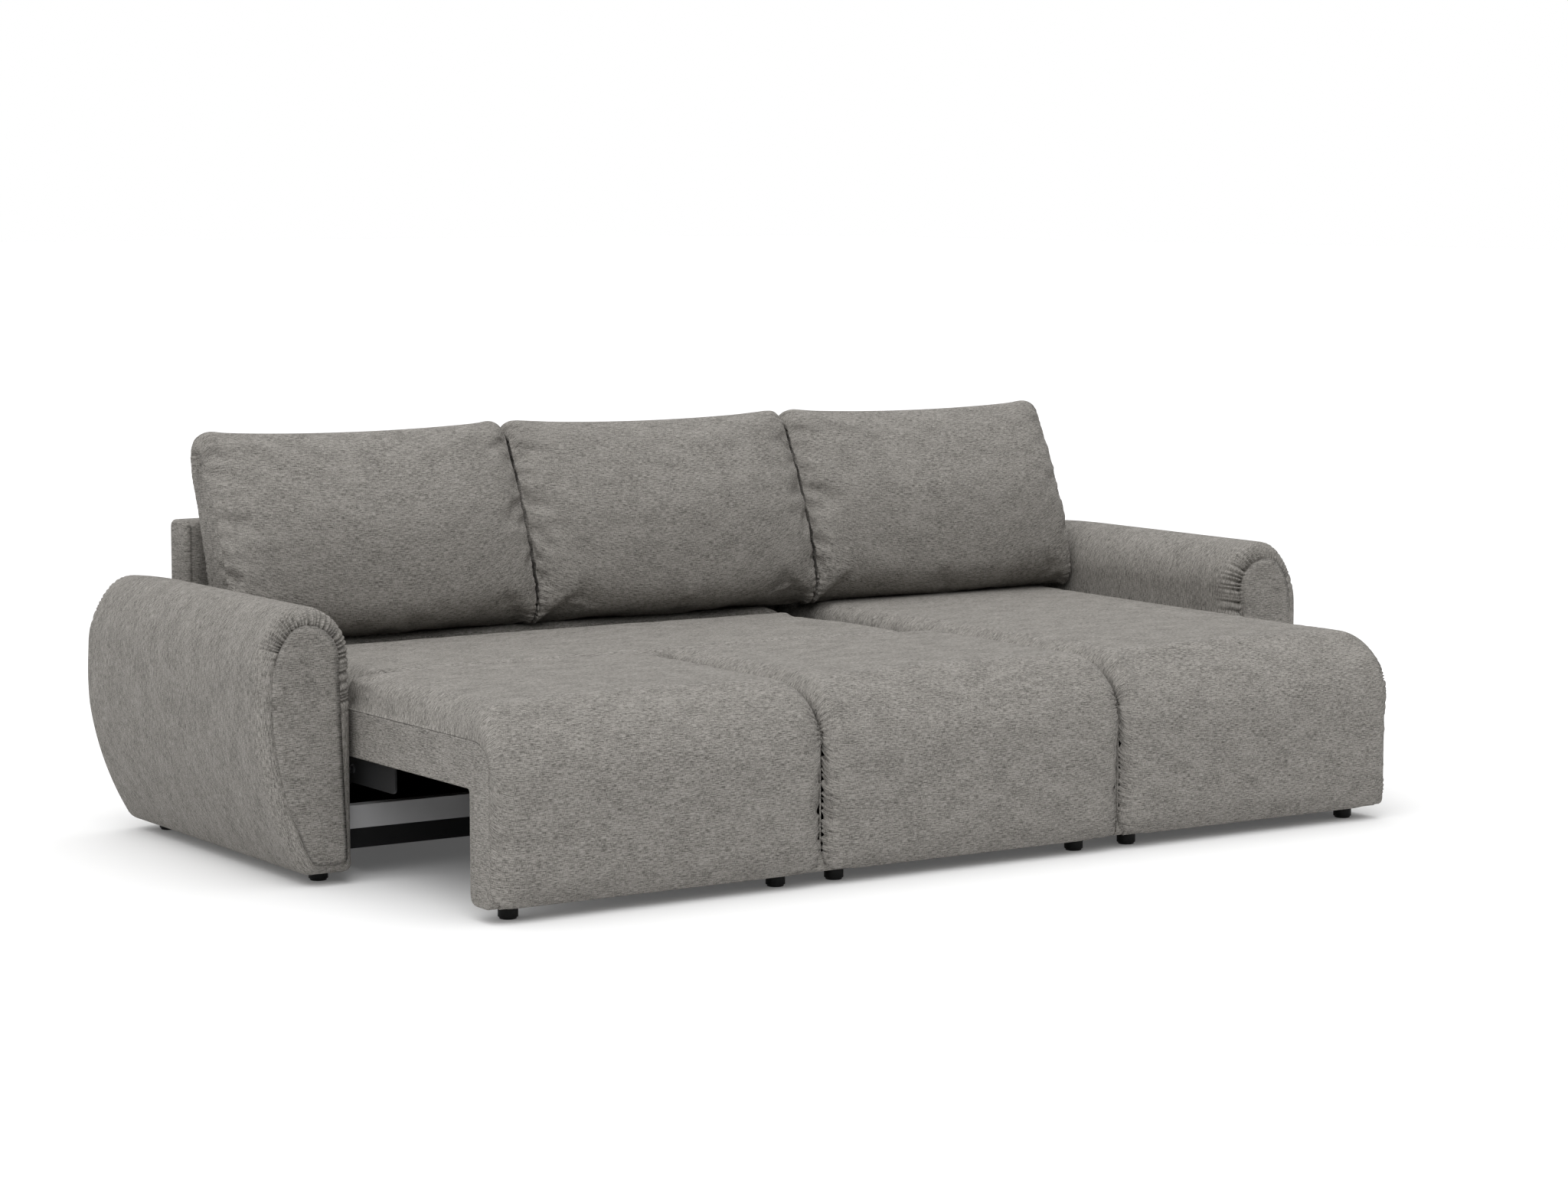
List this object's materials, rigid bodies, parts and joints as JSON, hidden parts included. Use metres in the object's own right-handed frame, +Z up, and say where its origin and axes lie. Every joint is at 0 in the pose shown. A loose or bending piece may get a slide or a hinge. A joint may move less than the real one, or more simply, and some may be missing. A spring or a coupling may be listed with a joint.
{
  "type": "sofa bed",
  "caption": "Upholstered corner sofa bed with rounded arms, a chaise on the right and loose back cushions, shown with its bed pulled out.",
  "frame": {"origin": "on the floor, at the middle of the bounding box's width and depth", "axes": "+X along the sofa to the sitter's left, where the chaise is; +Y from the front to the back; +Z up"},
  "size_m": [2.864, 1.526, 0.9137],
  "materials": {
    "upholstery": "warm grey woven chenille",
    "plywood": "plywood under black lining cloth",
    "grey_steel": "grey powder coat",
    "black_steel": "black powder coat",
    "dark_plate": "dark grey satin paint",
    "fastener": "zinc plated",
    "foot_plastic": "matt black"
  },
  "bodies": {
    "base": {"arm_left": "upholstery", "arm_right": "upholstery", "back_frame": "upholstery", "ledge_front_board": "plywood", "ledge_top_board": "plywood", "ledge_end_boards": "plywood", "ledge_pad": "upholstery", "front_rail": "grey_steel", "toe_rail": "black_steel", "side_rail_left": "black_steel", "side_rail_right": "black_steel", "rear_rail": "black_steel", "hinge_plate_left": "dark_plate", "hinge_plate_right": "dark_plate", "hinge_studs": "fastener", "hinge_nuts": "fastener", "chaise_pad": "upholstery", "chaise_panel_board": "upholstery", "chaise_side_boards": "upholstery", "chaise_deck": "plywood", "chaise_rear_board": "plywood", "chaise_feet": "foot_plastic", "back_feet": "foot_plastic", "arm_feet": "foot_plastic"},
    "front_cranks": {"front_crank_left": "dark_plate", "front_crank_right": "dark_plate"},
    "rear_cranks": {"rear_crank_left": "dark_plate", "rear_crank_right": "dark_plate"},
    "seat": {"seat_pad_left": "upholstery", "seat_pad_middle": "upholstery", "seat_panel_board": "upholstery", "seat_side_boards": "upholstery", "seat_deck": "plywood", "seat_rail_left": "dark_plate", "seat_rail_right": "dark_plate", "seat_studs": "fastener", "seat_nuts": "fastener", "seat_feet": "foot_plastic"},
    "rear_bed_pad": {"rear_pad": "upholstery", "rear_pad_board": "plywood", "pad_rail_left": "dark_plate", "pad_rail_right": "dark_plate", "pad_studs": "fastener", "pad_nuts": "fastener"},
    "cushion_left": {"back_cushion_left": "upholstery"},
    "cushion_middle": {"back_cushion_middle": "upholstery"},
    "cushion_right": {"back_cushion_right": "upholstery"}
  },
  "joints": [
    {"name": "crank_swing", "type": "hinge", "parent": "base", "child": "front_cranks", "pos_m": [0, 0.17841, 0.11461], "axis": [-1, 0, 0], "range_deg": [0, 132]},
    {"name": "rear_crank_swing", "type": "hinge", "parent": "base", "child": "rear_cranks", "pos_m": [0, 0.29841, 0.11461], "axis": [-1, 0, 0], "range_deg": [0, 132]},
    {"name": "seat_level", "type": "hinge", "parent": "front_cranks", "child": "seat", "pos_m": [0, -0.092, 0.235], "axis": [-1, 0, 0], "range_deg": [-132, 0]},
    {"name": "rear_pad_level", "type": "hinge", "parent": "front_cranks", "child": "rear_bed_pad", "pos_m": [0, 0.20037, 0.16394], "axis": [-1, 0, 0], "range_deg": [-132, 0]},
    {"name": "cushion_left_lift", "type": "slide", "parent": "base", "child": "cushion_left", "axis": [0, 0, 1], "range_m": [0, 0.3]},
    {"name": "cushion_middle_lift", "type": "slide", "parent": "base", "child": "cushion_middle", "axis": [0, 0, 1], "range_m": [0, 0.3]},
    {"name": "cushion_right_lift", "type": "slide", "parent": "base", "child": "cushion_right", "axis": [0, 0, 1], "range_m": [0, 0.3]}
  ],
  "couplings": [
    {"joint": "rear_crank_swing", "follows": "crank_swing", "ratio": 1},
    {"joint": "seat_level", "follows": "crank_swing", "ratio": -1},
    {"joint": "rear_pad_level", "follows": "crank_swing", "ratio": -1}
  ]
}
